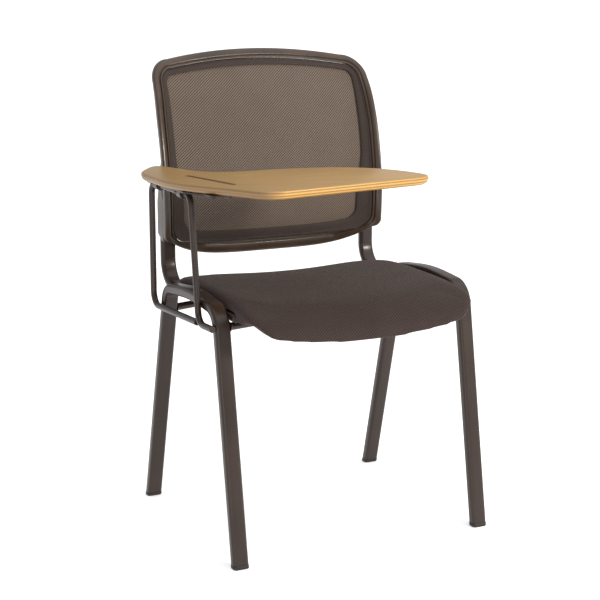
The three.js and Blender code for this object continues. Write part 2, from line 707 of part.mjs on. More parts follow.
makeSideFrames();
makeGlides();
makeStretchers();
makePosts();
makeSeatShell();
makeSeatPad();
makeSeatScrews();
makeBackFrame();
makeMeshCarrier();
makeBackMesh();
makeBackScrews();
makeRodFrame();
makeStop();
makeTabletPlate();
makeSaddles();
makeBoard();
makeTabletScrews();

// The origin is on the floor under the middle of the whole chair.
const box = new THREE.Box3().setFromObject(chair);
chair.position.set(-(box.min.x + box.max.x) / 2, -(box.min.y + box.max.y) / 2, -box.min.z);

export default chair;
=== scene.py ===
# The looks of a mesh-backed chair with a padded seat and a flip-up writing tablet.
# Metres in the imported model's frame. Shapes below are given in millimetres in the chair's own frame:
# x across from its middle plane, y back from the middle of the seat, z up from the floor.
import json
import math

import bmesh
import bpy
import numpy as np
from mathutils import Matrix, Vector


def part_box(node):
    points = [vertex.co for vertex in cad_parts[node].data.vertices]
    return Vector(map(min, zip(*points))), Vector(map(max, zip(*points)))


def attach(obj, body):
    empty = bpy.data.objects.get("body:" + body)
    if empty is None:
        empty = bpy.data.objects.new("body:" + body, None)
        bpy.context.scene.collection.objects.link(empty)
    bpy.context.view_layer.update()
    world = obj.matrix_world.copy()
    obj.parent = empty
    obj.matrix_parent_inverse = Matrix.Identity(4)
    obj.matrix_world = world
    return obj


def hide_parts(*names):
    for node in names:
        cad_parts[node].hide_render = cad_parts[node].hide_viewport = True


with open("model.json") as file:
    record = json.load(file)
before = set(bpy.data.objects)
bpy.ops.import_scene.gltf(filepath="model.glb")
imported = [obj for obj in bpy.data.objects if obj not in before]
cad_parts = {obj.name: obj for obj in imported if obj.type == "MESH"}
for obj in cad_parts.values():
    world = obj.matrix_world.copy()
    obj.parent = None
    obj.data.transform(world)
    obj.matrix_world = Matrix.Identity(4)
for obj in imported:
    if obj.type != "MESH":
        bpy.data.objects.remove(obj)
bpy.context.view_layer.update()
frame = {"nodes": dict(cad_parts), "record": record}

# ------------------------------------------------------------------ the chair's own frame
LEG_X, LEG_W, LEG_T, TUBE_R = 250, 30, 20, 6.5
TUBE_GAP = 0.3
FRONT_CROSS_Y = -143
GROOVE_ENDS, GROOVE_W = ((-250, 20), (-218, -134)), 12
shell_low, shell_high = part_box("seat_shell")
cross_low, cross_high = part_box("front_cross_tube")
MIDDLE = np.array([
    (shell_low.x + shell_high.x) / 2,
    (cross_low.y + cross_high.y) / 2 - FRONT_CROSS_Y / 1000,
    0.0,
])


def at(points):
    """Chair millimetres to the model's frame in metres."""
    return np.asarray(points, float) / 1000 + MIDDLE


# ------------------------------------------------------------------ camera, floor and light
SENSOR, LENS = 36, 92.64
CAMERA_PLACE, CAMERA_TARGET = (-1284.2, -2607.5, 1054.1), (-26.6, 0, 428.7)
FLOOR_SIZE, FLOOR_GAP = 200, 0.0005
LIGHT_TARGET = (0, 0, 0.55)


def aim(obj, target):
    obj.rotation_euler = (Vector(target) - obj.location).to_track_quat("-Z", "Y").to_euler()


def set_camera():
    data = bpy.data.cameras.new("camera")
    data.sensor_width = SENSOR
    data.lens = LENS
    camera = bpy.data.objects.new("camera", data)
    bpy.context.scene.collection.objects.link(camera)
    camera.location = at(CAMERA_PLACE)
    aim(camera, at(CAMERA_TARGET))
    bpy.context.scene.camera = camera


def set_floor():
    bpy.ops.mesh.primitive_plane_add(size=FLOOR_SIZE, location=(0, 0, -FLOOR_GAP))
    floor = bpy.context.object
    floor.name = "floor"
    glow = {"Emission Color": (1, 1, 1, 1), "Emission Strength": 0.4}
    paint = Finish("floor_paint", {"Roughness": 0.9, "Specular IOR Level": 0.1, **glow})
    paint.colour(paint.mix(paint.noise(paint.place(), 3), (0.92, 0.92, 0.92), (0.95, 0.95, 0.95)))
    floor.data.materials.append(paint.material)


def add_light(name, kind, place, target, energy, colour):
    data = bpy.data.lights.new(name, kind)
    data.energy = energy
    data.color = colour
    light = bpy.data.objects.new(name, data)
    bpy.context.scene.collection.objects.link(light)
    light.location = place
    aim(light, target)
    return data


def set_lights():
    """A white room, an even soft light from overhead, and two panels for the highlights."""
    world = bpy.data.worlds.new("studio")
    bpy.context.scene.world = world
    world.use_nodes = True
    tree = world.node_tree
    room = tree.nodes["Background"]
    room.inputs["Color"].default_value = (1, 1, 1, 1)
    seen = tree.nodes.new("ShaderNodeLightPath").outputs["Is Camera Ray"]
    level = tree.nodes.new("ShaderNodeMapRange")
    level.inputs["To Min"].default_value = 0.64
    level.inputs["To Max"].default_value = 1.0
    tree.links.new(seen, level.inputs["Value"])
    tree.links.new(level.outputs[0], room.inputs["Strength"])
    overhead = add_light("overhead", "SUN", (0, 0, 4), (-0.9, 1.0, 0), 1.15, (1, 1, 1))
    overhead.angle = 1.3
    for name, place, size, power, tint in (
        ("key", (1.5, -2.3, 1.5), 0.5, 54, (1, 0.9, 0.78)),
        ("fill", (-1.6, -2.4, 0.45), 1.2, 10, (1, 0.97, 0.93)),
    ):
        panel = add_light(name, "AREA", place, LIGHT_TARGET, power, tint)
        panel.size = size


# ------------------------------------------------------------------ finishes
def rgb(text):
    """Linear colour of an sRGB hex code."""
    srgb = [int(text[i:i + 2], 16) / 255 for i in (0, 2, 4)]
    return tuple(c / 12.92 if c <= 0.04045 else ((c + 0.055) / 1.055) ** 2.4 for c in srgb)


class Finish:
    """A node material being put together. Its methods add nodes and return their outputs."""

    def __init__(self, name, sockets):
        self.material = bpy.data.materials.new(name)
        self.material.use_nodes = True
        self.tree = self.material.node_tree
        self.shader = self.tree.nodes["Principled BSDF"]
        for socket, value in sockets.items():
            self.shader.inputs[socket].default_value = value

    def node(self, kind, inputs=(), **settings):
        made = self.tree.nodes.new(kind)
        for key, value in settings.items():
            setattr(made, key, value)
        for key, value in dict(inputs).items():
            if isinstance(value, bpy.types.NodeSocket):
                self.tree.links.new(value, made.inputs[key])
            else:
                made.inputs[key].default_value = value
        return made

    def place(self, scale=(1, 1, 1), turn=(0, 0, 0)):
        where = self.node("ShaderNodeTexCoord").outputs["Object"]
        return self.node("ShaderNodeMapping", {"Vector": where, "Scale": scale, "Rotation": turn}).outputs[0]

    def noise(self, vector, scale, detail=3, roughness=0.5):
        inputs = {"Vector": vector, "Scale": scale, "Detail": detail, "Roughness": roughness}
        return self.node("ShaderNodeTexNoise", inputs).outputs[0]

    def calc(self, operation, a, b=0.0):
        return self.node("ShaderNodeMath", {0: a, 1: b}, operation=operation).outputs[0]

    def remap(self, value, low, high, to_low=0.0, to_high=1.0):
        inputs = {"Value": value, "From Min": low, "From Max": high, "To Min": to_low, "To Max": to_high}
        return self.node("ShaderNodeMapRange", inputs).outputs[0]

    def threads(self, vector, direction, pitch):
        """Ridges 0 to 1 across a direction, pitch metres apart."""
        wave = self.calc("SINE", self.calc("MULTIPLY", self.along(vector, direction), 2 * math.pi / pitch))
        return self.remap(wave, -1, 1)

    def along(self, vector, direction):
        inputs = {0: vector, 1: direction}
        return self.node("ShaderNodeVectorMath", inputs, operation="DOT_PRODUCT").outputs["Value"]

    def axis(self, vector, name):
        return self.node("ShaderNodeSeparateXYZ", {0: vector}).outputs[name]

    def mix(self, share, a, b):
        def colour(value):
            return value if isinstance(value, bpy.types.NodeSocket) else (*value[:3], 1)
        inputs = {0: share, 6: colour(a), 7: colour(b)}
        return self.node("ShaderNodeMix", inputs, data_type="RGBA").outputs[2]

    def colour(self, output):
        self.tree.links.new(output, self.shader.inputs["Base Color"])

    def rough(self, output):
        self.tree.links.new(output, self.shader.inputs["Roughness"])

    def bump(self, height, depth):
        inputs = {"Height": height, "Distance": depth, "Strength": 1.0}
        normal = self.node("ShaderNodeBump", inputs).outputs["Normal"]
        self.tree.links.new(normal, self.shader.inputs["Normal"])


def powder_coat():
    f = Finish("coated_steel", {"Specular IOR Level": 0.2, "Coat Weight": 0.35, "Coat Roughness": 0.2})
    here = f.place()
    cloud = f.noise(here, 9, 4)
    paint = f.mix(f.remap(cloud, 0.35, 0.65), rgb("281d19"), rgb("2f231e"))
    chips = f.remap(f.noise(f.place((1, 1, 0.6)), 160, 5, 0.7), 0.7, 0.76)
    low_down = f.remap(f.axis(here, "Z"), 0.0, 0.11, 1.0, 0.0)
    scuffs = f.calc("MULTIPLY", chips, low_down)
    f.colour(f.mix(scuffs, paint, rgb("857a71")))
    f.rough(f.remap(cloud, 0.3, 0.7, 0.34, 0.46))
    f.bump(f.noise(here, 900, 2), 0.00003)
    return f.material


def frame_plastic():
    f = Finish("frame_plastic", {"Specular IOR Level": 0.3, "Coat Weight": 0.2, "Coat Roughness": 0.16})
    here = f.place()
    cloud = f.noise(here, 14, 4)
    f.colour(f.mix(f.remap(cloud, 0.35, 0.65), rgb("352a22"), rgb("43352b")))
    f.rough(f.remap(f.noise(here, 40, 3), 0.3, 0.7, 0.27, 0.4))
    f.bump(f.noise(here, 1100, 2), 0.00002)
    return f.material


def carrier_band():
    f = Finish("carrier_band", {"Specular IOR Level": 0.25})
    here = f.place()
    pitch = 0.0021
    rising = f.threads(here, (0.7, 0.1, 0.7), pitch)
    knit = f.calc("MULTIPLY", rising, f.threads(here, (0.7, -0.1, -0.7), pitch))
    f.colour(f.mix(knit, rgb("372e2b"), rgb("483f3a")))
    f.rough(f.remap(f.noise(here, 300, 2), 0.3, 0.7, 0.7, 0.9))
    f.bump(knit, 0.0003)
    return f.material


def stretched_net():
    f = Finish("stretched_net", {"Specular IOR Level": 0.2, "Sheen Weight": 0.15, "Sheen Roughness": 0.5})
    where = f.node("ShaderNodeTexCoord").outputs["UV"]
    wobble = f.noise(where, 22, 3)
    drift = f.node("ShaderNodeTexNoise", {"Vector": where, "Scale": 9.0}).outputs["Color"]
    drift = f.node("ShaderNodeVectorMath", {0: drift, "Scale": 0.004}, operation="SCALE").outputs[0]
    yarns = f.node("ShaderNodeVectorMath", {0: where, 1: drift}, operation="ADD").outputs[0]
    pitch = 0.004
    strong = f.threads(yarns, (0.68, -0.73, 0), pitch)
    cross = f.threads(yarns, (0.68, 0.73, 0), pitch)
    fine = f.threads(yarns, (1, 0, 0), pitch / 2)
    knit = f.calc("ADD", f.calc("MULTIPLY", strong, 0.62), f.calc("MULTIPLY", cross, 0.24))
    knit = f.calc("ADD", knit, f.calc("MULTIPLY", fine, 0.14))
    yarn = f.mix(f.remap(wobble, 0.35, 0.65), rgb("716459"), rgb("776a60"))
    f.colour(f.mix(f.remap(knit, 0.15, 0.8), rgb("3a312c"), yarn))
    f.rough(f.remap(wobble, 0.3, 0.7, 0.75, 0.9))
    f.bump(knit, 0.0004)
    return f.material


def seat_cloth():
    sheen = {"Sheen Weight": 0.1, "Sheen Roughness": 0.45, "Sheen Tint": (0.8, 0.76, 0.74, 1)}
    f = Finish("seat_cloth", {"Specular IOR Level": 0.15, **sheen})
    here = f.place()
    pitch = 0.0021
    warp = f.threads(here, (0.9, 0.5, 0.5), pitch)
    weft = f.threads(here, (0.05, 1, 0.9), pitch)
    twill = f.threads(here, (0.75, -0.6, -0.7), 0.0048)
    weave = f.calc("ADD", f.calc("MULTIPLY", warp, 0.2), f.calc("MULTIPLY", weft, 0.2))
    weave = f.calc("ADD", weave, f.calc("MULTIPLY", twill, 0.6))
    cloud = f.noise(here, 12, 4, 0.6)
    light = f.mix(f.remap(cloud, 0.35, 0.65), rgb("3f3432"), rgb("463b39"))
    f.colour(f.mix(f.remap(weave, 0.1, 0.9), rgb("292120"), light))
    f.rough(f.remap(f.noise(here, 200, 2), 0.3, 0.7, 0.85, 0.97))
    f.bump(f.calc("ADD", weave, f.calc("MULTIPLY", f.noise(here, 500, 3), 0.5)), 0.0006)
    return f.material


def tablet_wood():
    """Lacquered face veneer over three light plies, with a darker floor in the pencil groove."""
    f = Finish("tablet_wood", {"Specular IOR Level": 0.4, "Coat Weight": 0.15, "Coat Roughness": 0.3})
    here = f.place()
    low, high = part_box("tablet_board")
    height = f.axis(here, "Z")
    streaks = f.noise(f.place((3, 60, 60), (0, 0, 0.12)), 4, 5, 0.6)
    left_side = at([-310, 0, 0])[0]
    # The top is painted darker toward its left end: painted shade standing in for the weaker light there.
    painted_shade_left = f.remap(f.axis(here, "X"), left_side, left_side + 0.42, 1.0, 0.0)
    top = f.mix(f.remap(streaks, 0.3, 0.7), rgb("a07d47"), rgb("c09b64"))
    top = f.mix(f.calc("MULTIPLY", painted_shade_left, 0.6), top, rgb("83683f"))
    layers = f.threads(here, (0, 0, 1), (high.z - low.z) / 3)
    rings = f.noise(f.place((30, 30, 700)), 3, 3, 0.6)
    core = f.mix(f.remap(layers, 0.25, 0.75), rgb("825f2c"), rgb("ca9c4e"))
    core = f.mix(f.remap(rings, 0.35, 0.7, 0.0, 0.5), core, rgb("b58d4c"))
    # The edge core is painted darker near the left end. This is painted shade on the edge that faces away
    # from the light, not handling wear.
    painted_edge_shade = f.remap(f.axis(here, "X"), left_side + 0.105, left_side + 0.14, 0.75, 0.0)
    core = f.mix(painted_edge_shade, core, rgb("735a41"))
    wood = f.mix(f.remap(f.remap(height, low.z, high.z), 0.93, 0.985), core, top)
    start, end = at([*GROOVE_ENDS[0], 0]), at([*GROOVE_ENDS[1], 0])
    sideways = np.array([start[1] - end[1], end[0] - start[0], 0])
    in_slot = f.calc("LESS_THAN", height, high.z - 0.0003)
    for direction, reach in ((sideways, 0.008), (end - start, 0.085)):
        direction = unit(direction)
        offset = f.along(here, direction.tolist())
        offset = f.calc("ABSOLUTE", f.calc("SUBTRACT", offset, float(direction @ (start + end) / 2)))
        in_slot = f.calc("MULTIPLY", in_slot, f.calc("LESS_THAN", offset, reach))
    f.colour(f.mix(in_slot, wood, rgb("7d5c33")))
    f.rough(f.remap(streaks, 0.3, 0.7, 0.38, 0.5))
    f.bump(streaks, 0.00012)
    return f.material


def plain_plastic(name, dark, light, rough):
    f = Finish(name, {"Specular IOR Level": 0.4})
    here = f.place()
    cloud = f.noise(here, 60, 4)
    f.colour(f.mix(cloud, rgb(dark), rgb(light)))
    f.rough(f.remap(cloud, 0.3, 0.7, rough - 0.06, rough + 0.06))
    f.bump(f.noise(here, 1300, 2), 0.0001)
    return f.material


def zinc_plate():
    f = Finish("zinc_plate", {"Metallic": 0.6})
    here = f.place()
    cloud = f.noise(here, 120, 4)
    f.colour(f.mix(cloud, rgb("2e2a28"), rgb("45403c")))
    f.rough(f.remap(cloud, 0.3, 0.7, 0.28, 0.45))
    f.bump(f.noise(f.place((400, 400, 40)), 4, 2), 0.00008)
    return f.material


# ------------------------------------------------------------------ mesh making
def make(name, points, faces, material, smooth=40):
    mesh = bpy.data.meshes.new(name)
    mesh.from_pydata(at(points).tolist(), [], faces)
    solid = bmesh.new()
    solid.from_mesh(mesh)
    bmesh.ops.recalc_face_normals(solid, faces=solid.faces)
    solid.to_mesh(mesh)
    solid.free()
    mesh.shade_smooth()
    mesh.set_sharp_from_angle(angle=math.radians(smooth))
    mesh.materials.append(material)
    obj = bpy.data.objects.new(name, mesh)
    bpy.context.scene.collection.objects.link(obj)
    return obj


def skin(rings, closed=False, caps=True):
    """Points and faces of a skin over equal rings; closed joins the last ring to the first."""
    rings = np.asarray(rings, float)
    count, size = rings.shape[:2]
    faces = []
    for i in range(count if closed else count - 1):
        a, b = i * size, (i + 1) % count * size
        for j in range(size):
            k = (j + 1) % size
            faces.append((a + j, a + k, b + k, b + j))
    if caps and not closed:
        faces.append(tuple(range(size)))
        faces.append(tuple((count - 1) * size + j for j in reversed(range(size))))
    return rings.reshape(-1, 3), faces


def joined(*parts):
    """Several (points, faces) in one."""
    points, faces, start = [], [], 0
    for part_points, part_faces in parts:
        points.append(part_points)
        faces += [tuple(i + start for i in face) for face in part_faces]
        start += len(part_points)
    return np.concatenate(points), faces


def circle(radius, count=28):
    turn = np.arange(count) / count * 2 * math.pi
    return np.column_stack([radius * np.cos(turn), radius * np.sin(turn)])


def rounded_rect(width, height, radius, count=7):
    points = []
    for k, (sx, sy) in enumerate([(1, 1), (-1, 1), (-1, -1), (1, -1)]):
        turn = (k + np.linspace(0, 1, count)) * math.pi / 2
        points.append(np.column_stack([
            sx * (width / 2 - radius) + radius * np.cos(turn),
            sy * (height / 2 - radius) + radius * np.sin(turn),
        ]))
    return np.concatenate(points)


def unit(vector):
    return vector / np.linalg.norm(vector)


def bent(corners, radii, step=4):
    """Stations (point, tangent) of straight runs joined by round bends."""
    corners = [np.array(c, float) for c in corners]
    stations = [(corners[0], unit(corners[1] - corners[0]))]
    for before, corner, after, radius in zip(corners, corners[1:], corners[2:], radii):
        into, out = unit(corner - before), unit(after - corner)
        angle = math.acos(np.clip(into @ out, -1, 1))
        side = unit(out - into * math.cos(angle))
        start = corner - into * radius * math.tan(angle / 2)
        for turn in np.linspace(0, angle, max(3, math.ceil(math.degrees(angle) / step) + 1)):
            point = start + into * radius * math.sin(turn) + side * radius * (1 - math.cos(turn))
            stations.append((point, into * math.cos(turn) + side * math.sin(turn)))
    stations.append((corners[-1], unit(corners[-1] - corners[-2])))
    return stations


def sweep(stations, section, across):
    across = np.array(across, float)
    rings = []
    for point, tangent in stations:
        up = np.cross(tangent, across)
        rings.append(point + np.outer(section[:, 0], across) + np.outer(section[:, 1], up))
    return rings


def cut_at(ring, tangent, axis, value):
    """Slides a ring's points along the tube onto a plane."""
    return ring + np.outer((value - ring[:, axis]) / tangent[axis], tangent)


def in_plane(x, points):
    return [(x, y, z) for y, z in points]


def through(knots, z):
    """Smooth curve through (z, value) knots."""
    zs, vs = np.array(knots, float).T
    slopes = np.gradient(vs, zs)
    slopes[1:-1] = (vs[2:] - vs[:-2]) / (zs[2:] - zs[:-2])
    i = np.clip(np.searchsorted(zs, z, side="right") - 1, 0, len(zs) - 2)
    run = zs[i + 1] - zs[i]
    t = (z - zs[i]) / run
    return ((2 * t**3 - 3 * t**2 + 1) * vs[i] + (t**3 - 2 * t**2 + t) * run * slopes[i]
            + (3 * t**2 - 2 * t**3) * vs[i + 1] + (t**3 - t**2) * run * slopes[i + 1])


def applied(obj):
    """Bakes an object's modifiers into its mesh."""
    done = bpy.data.meshes.new_from_object(obj.evaluated_get(bpy.context.evaluated_depsgraph_get()))
    obj.modifiers.clear()
    obj.data = done
    return obj


def carve(obj, *tools):
    for tool in tools:
        cutter = obj.modifiers.new("cut", "BOOLEAN")
        cutter.operation = "DIFFERENCE"
        cutter.solver = "EXACT"
        cutter.object = tool
    applied(obj)
    for tool in tools:
        bpy.data.objects.remove(tool)
    return obj


def stand_in(obj, body, slot, *nodes):
    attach(obj, body)
    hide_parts(*nodes)
    return obj


# ------------------------------------------------------------------ tube frame
FRONT_FOOT_Y, FRONT_SPLAY = -216, 0.1725
REAR_FOOT_Y, REAR_SPLAY = 226, -0.265
RAIL_REAR_Z, RAIL_FRONT_Z = 453, 456
GLIDE_TOP = 7.3
SIDES = (("right", -1), ("left", 1))


def front_leg(z):
    return FRONT_FOOT_Y + FRONT_SPLAY * z


def rear_leg(z):
    return REAR_FOOT_Y + REAR_SPLAY * z


def make_side_frames(steel):
    start = GLIDE_TOP - 12
    line = [
        (rear_leg(start), start), (rear_leg(RAIL_REAR_Z), RAIL_REAR_Z), (-12, 466),
        (front_leg(RAIL_FRONT_Z), RAIL_FRONT_Z), (front_leg(start), start),
    ]
    for name, side in SIDES:
        stations = bent(in_plane(side * LEG_X, line), [32, 500, 42], 2.5)
        rings = sweep(stations, rounded_rect(LEG_W, LEG_T, TUBE_R), (1, 0, 0))
        rings[0] = cut_at(rings[0], stations[0][1], 2, GLIDE_TOP)
        rings[-1] = cut_at(rings[-1], stations[-1][1], 2, GLIDE_TOP)
        frame_tube = make(f"{name}_frame_tube", *skin(rings), steel, 50)
        stand_in(frame_tube, "chair", "coated_steel", f"{name}_side_frame")


def make_glides(plastic):
    # (height, growth) of the flange from the floor up
    layers = [
        (0, -1.4), (0.3, -0.5), (1.1, 0.4), (2.4, 0.6),
        (5.6, 0.6), (6.6, 0.3), (7.0, -0.5), (7.1, -2.0),
    ]
    for name, side in SIDES:
        for end, leg in (("front", front_leg), ("rear", rear_leg)):
            rings = []
            for z, grow in layers:
                outline = rounded_rect(LEG_W + 2 * grow, LEG_T + 2 * grow, TUBE_R + grow)
                level = np.full(len(outline), z)
                rings.append(np.column_stack([side * LEG_X + outline[:, 0], leg(z) + outline[:, 1], level]))
            glide = make(f"{end}_{name}_foot", *skin(rings), plastic, 50)
            stand_in(glide, "chair", "glide_plastic", f"{end}_{name}_glide")


def make_cross_tubes(steel):
    """Round tubes between the side frames, raised a little between their two knees."""
    tip, knee = LEG_X - LEG_W / 2 - TUBE_GAP, 150
    for name, y, z, rise in (("front", FRONT_CROSS_Y, 427.6, 5.4), ("rear", 116.8, 412, 7)):
        slope = rise / (tip - knee)
        line = [(-tip, y, z), (-knee, y, z + rise), (knee, y, z + rise), (tip, y, z)]
        stations = bent(line, [120, 120], 1)
        rings = sweep(stations, circle(7), (0, 1, 0))
        weld = []
        for reach, radius in ((0, 9.6), (0.8, 8.6), (1.8, 7.8), (3.4, 7.2)):
            point = np.array([-tip + reach, y, z + slope * reach])
            weld.append(sweep([(point, stations[0][1])], circle(radius), (0, 1, 0))[0])
        weld[0] = cut_at(weld[0], stations[0][1], 0, -tip)
        mirrored = [np.column_stack([-ring[:, 0], ring[:, 1], ring[:, 2]]) for ring in reversed(weld)]
        # the mirrored rings run the other way about the tube, so they are turned back to match
        order = [np.argmin(np.linalg.norm(mirrored[0] - p, axis=1)) for p in weld[0] * [-1, 1, 1]]
        mirrored = [ring[order] for ring in mirrored]
        tube = make(f"{name}_stretcher", *skin(weld + rings[1:-1] + mirrored), steel, 60)
        stand_in(tube, "chair", "coated_steel", f"{name}_cross_tube")


POST_X = LEG_X - LEG_W - TUBE_GAP
POST_T, POST_Y, POST_Z, POST_TOP, POST_FRONT, POST_BEND = 15, 197.5, 443.7, 600, -154, 50
PLUG_R = 6.3


def post_rings(side, grow=0.0, front=POST_FRONT, step=3):
    line = [(front, POST_Z), (POST_Y, POST_Z), (POST_Y, POST_TOP)]
    section = rounded_rect(LEG_W + 2 * grow, POST_T + 2 * grow, TUBE_R + grow)
    return sweep(bent(in_plane(side * POST_X, line), [POST_BEND], step), section, (1, 0, 0))


def make_posts(steel, plastic):
    for name, side in SIDES:
        post = make(f"{name}_post_tube", *skin(post_rings(side)), steel, 50)
        stand_in(post, "chair", "coated_steel", f"{name}_back_post")
        rings = []
        for depth, grow in ((0.3, 0), (2.4, 0), (3.0, -0.5), (3.3, -1.8)):
            outline = rounded_rect(LEG_W + 2 * grow, POST_T + 2 * grow, PLUG_R + grow)
            flat = np.full(len(outline), POST_FRONT - depth)
            rings.append(np.column_stack([side * POST_X + outline[:, 0], flat, POST_Z + outline[:, 1]]))
        plug = make(f"{name}_end_plug", *skin(rings), plastic, 50)
        stand_in(plug, "chair", "glide_plastic", f"{name}_post_plug")


# ------------------------------------------------------------------ back
BACK_W, BACK_LOW, BACK_HIGH = 238, 491.5, 893
SOCKET_W, SOCKET_SLOPE = 237.8, 17
NET_BEHIND = 3.6
# (height, depth) of the frame's front face at its sides
FRONT_LINE = [(490, 166), (560, 157.5), (630, 157.5), (700, 168.5), (760, 184.5), (820, 208), (893, 257)]


def front_face(x, z):
    """Depth of the back's front face, which is hollowed across its width."""
    hollow = np.interp(z, [BACK_LOW, BACK_HIGH], [34, 12])
    return through(FRONT_LINE, z) + hollow * (1 - (x / BACK_W) ** 4)


def net_face(x, z):
    """The stretched net lies flatter than the frame, further back toward its sides."""
    return front_face(x, z) + 9 * (x / 205) ** 2


def loop(low, high, sag, crown, low_r, high_r, sides):
    """A rounded loop about the back, from its bottom centre round by +X, as (x, z) points.
    sides holds (height, half width) knots."""
    edge, bend, side = 20, 14, 34
    low_w, high_w = sides[0][1], sides[-1][1]

    def low_z(x):
        return low + sag * (x / BACK_W) ** 4

    def high_z(x):
        return high - crown * (x / BACK_W) ** 2

    xs = (low_w - low_r) * np.arange(edge) / edge
    turn = math.pi / 2 * np.arange(bend + 1) / bend
    start = low_z(low_w - low_r) + low_r
    end = high_z(high_w - high_r) - high_r
    heights = start + (end - start) * np.arange(1, side) / side
    top = (high_w - high_r) * np.arange(edge - 1, -1, -1) / edge
    half = np.concatenate([
        np.column_stack([xs, low_z(xs)]),
        np.column_stack([low_w - low_r + low_r * np.sin(turn), start - low_r * np.cos(turn)]),
        np.column_stack([side_width(sides, heights), heights]),
        np.column_stack([high_w - high_r * (1 - np.cos(turn)), end + high_r * np.sin(turn)]),
        np.column_stack([top, high_z(top)]),
    ])
    return np.concatenate([half, half[-2:0:-1] * [-1, 1]])


def side_width(knots, z):
    return through(knots, np.clip(z, knots[0][0], knots[-1][0]))


OUTER_SIDES = [(550, BACK_W), (740, BACK_W), (790, 236.5), (835, 233)]
RIDGE_SIDES = [(570, 219.5), (740, 219.5), (790, 217.5), (830, 214.5)]
WINDOW_SIDES = [(590, 190), (620, 193), (660, 199.5), (690, 203), (835, 203)]
WINDOW_LOW, WINDOW_HIGH, WINDOW_SAG, WINDOW_CROWN = 539, 862, 26, 24
OUTER = loop(BACK_LOW, BACK_HIGH, 48, 26, 14, 44, OUTER_SIDES)
RIDGE = loop(517, 875, 20, 25, 34, 28, RIDGE_SIDES)
WINDOW = loop(WINDOW_LOW, WINDOW_HIGH, WINDOW_SAG, WINDOW_CROWN, 26, 19, WINDOW_SIDES)


def back_rows():
    """The frame's section round the loop, as (start, mm inward or outward from it, depth)."""
    rim = [
        (2.5, 16), (0.6, 14.6), (0, 12.5), (0, 5.0), (0.5, 2.6), (1.8, 0.9), (4.0, 0.1), (6.5, -0.3),
    ]
    ridge = [
        (8.4, -0.2), (7.4, 0.4), (6.8, 2.6), (5.4, 3.0), (4.7, 1.0), (3.6, -0.5),
        (2.0, -0.7), (0.8, 0.2), (0, 2.0), (0, 12.5), (1.2, 15.2), (4.0, 16),
    ]
    return [("out", *row) for row in rim] + [("in", *row) for row in ridge]


def socket_rings(side):
    """The sleeve that takes a post: level rings above, and a lower end that slopes with the back."""
    rings = []
    # (height, share of the slope, growth)
    layers = [
        (527, 1, -1.6), (528, 1, -0.4), (530, 1, 0), (537, 0.8, 0), (548, 0.3, 0), (560, 0, 0), (585, 0, 0),
        (606, 0, 0), (610, 0, 0), (618, 0, 0), (655, 0, -0.4), (690, 0, -1.5), (702, 0, -4),
    ]
    for z, slant, grow in layers:
        rear = np.interp(z, [545, 606, 636, 690, 704], [207.5, 207.5, 200, 188, 182])
        front = float(front_face(np.array(POST_X), z)) + 3
        inner = np.interp(z, [606, 618], [200.3, 220])
        middle, width = (inner + SOCKET_W) / 2, SOCKET_W - inner
        outline = evened(rounded_rect(width + 2 * grow, rear - front + 2 * grow, 5), 72)
        x = middle + outline[:, 0]
        # the inner part stays behind the net's border
        behind = front_face(x, z) + np.interp(x, [216, 221], [15, 3])
        y = np.minimum(np.maximum((rear + front) / 2 + outline[:, 1], behind), rear + grow)
        lift = slant * SOCKET_SLOPE * np.clip((y - 165) / 42, 0, 1) ** 1.6
        rings.append(np.column_stack([side * x, y, z + lift]))
    return rings


def make_back_frame(plastic):
    inward = RIDGE - OUTER
    inward /= np.linalg.norm(inward, axis=1, keepdims=True)
    rings = []
    for start, distance, depth in back_rows():
        line = OUTER + inward * distance if start == "out" else RIDGE - inward * distance
        rings.append(np.column_stack([line[:, 0], front_face(line[:, 0], line[:, 1]) + depth, line[:, 1]]))
    parts = [skin(rings, closed=True)] + [skin(socket_rings(side)) for _, side in SIDES]
    frame_ring = make("back_surround", *joined(*parts), plastic, 45)
    stand_in(frame_ring, "chair", "back_plastic", "back_frame")


def make_carrier(band):
    # (share of the way from ridge to window, depth)
    rows = [
        (0.03, 3), (0.05, 1.7), (0.1, 1.1), (0.16, 1.5), (0.22, 2.2), (0.4, 1.0), (0.7, -0.2),
        (0.9, -0.3), (0.98, 0.2), (1.0, 1.0), (1.0, 2.5), (0.68, 2.8), (0.68, 7), (0.03, 7),
    ]
    rings = []
    for share, depth in rows:
        line = RIDGE + (WINDOW - RIDGE) * share
        x, z = line.T
        y = front_face(x, z) * (1 - share) + net_face(x, z) * share + depth
        rings.append(np.column_stack([x, y, z]))
    carrier = make("net_border", *skin(rings, closed=True), band, 45)
    stand_in(carrier, "chair", "carrier_plastic", "mesh_carrier")


def run_length(grid, axis):
    """Length run along one axis of a grid of points, from its first row or column."""
    steps = np.linalg.norm(np.diff(grid, axis=axis), axis=2)
    start = np.zeros_like(steps.take([0], axis))
    return np.concatenate([start, np.cumsum(steps, axis)], axis)


